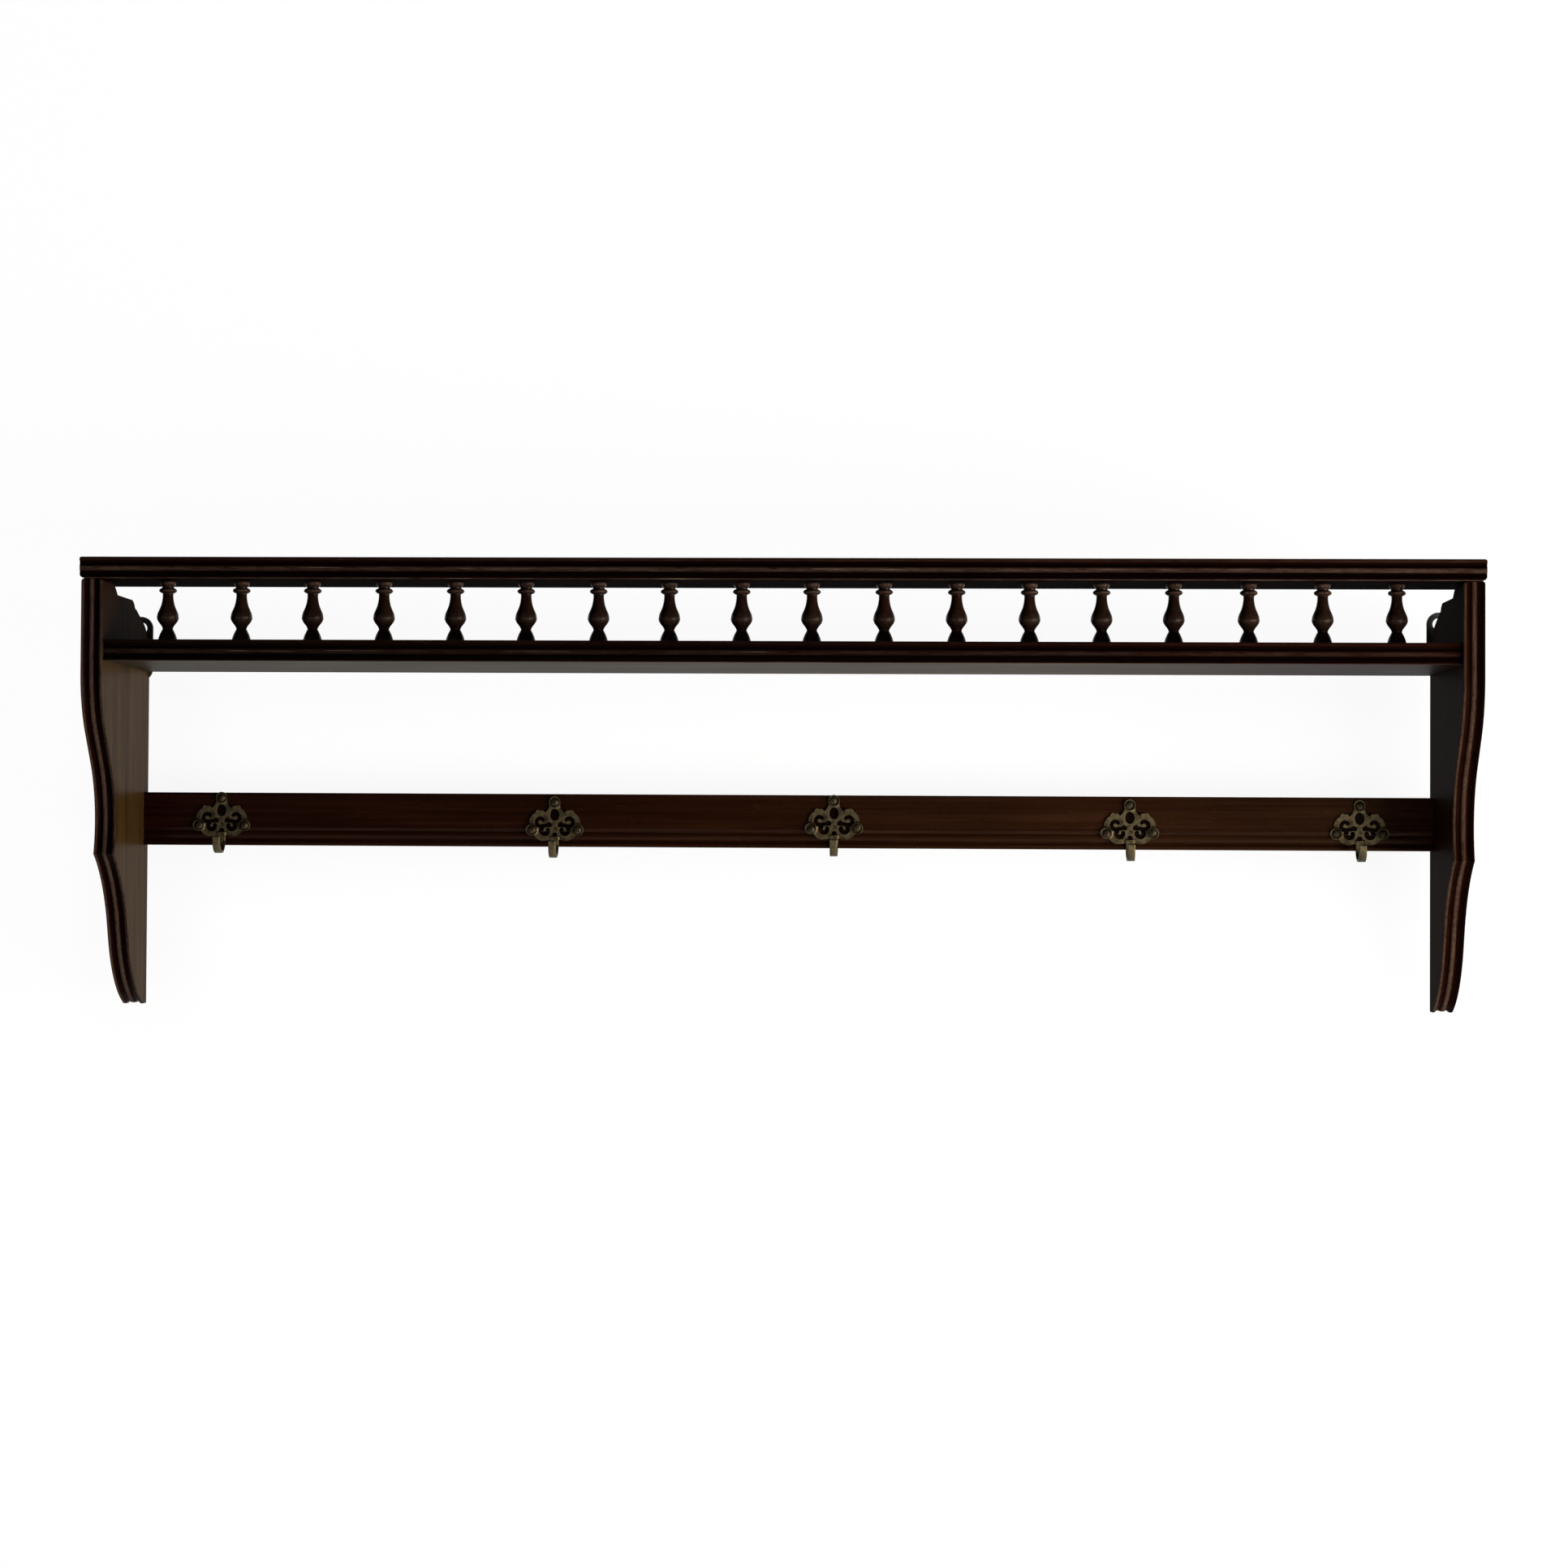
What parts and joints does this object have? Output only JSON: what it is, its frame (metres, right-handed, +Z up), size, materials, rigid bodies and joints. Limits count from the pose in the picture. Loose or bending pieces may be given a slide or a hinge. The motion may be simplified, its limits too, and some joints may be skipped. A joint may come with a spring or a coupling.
{
  "type": "wall shelf with coat hooks",
  "caption": "Dark wood wall shelf with a gallery of turned spindles, ogee side panels with reeded edges, and a rail of pierced brass coat hooks.",
  "frame": {"origin": "middle of the hook rail's back face, on the wall plane", "axes": "+X to the right seen from the front, +Y into the wall, +Z up; the front faces -Y"},
  "size_m": [1.08, 0.16, 0.3516],
  "materials": {
    "stained_wood": "dark red-brown stain with a satin lacquer, worn a little lighter on the crests",
    "dowel_wood": "bare",
    "aged_brass": "dull olive patina",
    "screw_brass": "dull patina",
    "black_metal": "satin black",
    "screw_steel": "dull"
  },
  "bodies": {
    "root": {"side_panel_left": "stained_wood", "side_panel_right": "stained_wood", "top_rail": "stained_wood", "shelf_board": "stained_wood", "hook_rail": "stained_wood", "spindle_01": "stained_wood", "spindle_02": "stained_wood", "spindle_03": "stained_wood", "spindle_04": "stained_wood", "spindle_05": "stained_wood", "spindle_06": "stained_wood", "spindle_07": "stained_wood", "spindle_08": "stained_wood", "spindle_09": "stained_wood", "spindle_10": "stained_wood", "spindle_11": "stained_wood", "spindle_12": "stained_wood", "spindle_13": "stained_wood", "spindle_14": "stained_wood", "spindle_15": "stained_wood", "spindle_16": "stained_wood", "spindle_17": "stained_wood", "spindle_18": "stained_wood", "shelf_dowels": "dowel_wood", "rail_dowels": "dowel_wood", "top_dowels": "dowel_wood", "hook_1": "aged_brass", "hook_2": "aged_brass", "hook_3": "aged_brass", "hook_4": "aged_brass", "hook_5": "aged_brass", "hook_screws_1": "screw_brass", "hook_screws_2": "screw_brass", "hook_screws_3": "screw_brass", "hook_screws_4": "screw_brass", "hook_screws_5": "screw_brass", "hanger_plate_left": "black_metal", "hanger_plate_right": "black_metal", "hanger_screws": "screw_steel"}
  },
  "joints": []
}
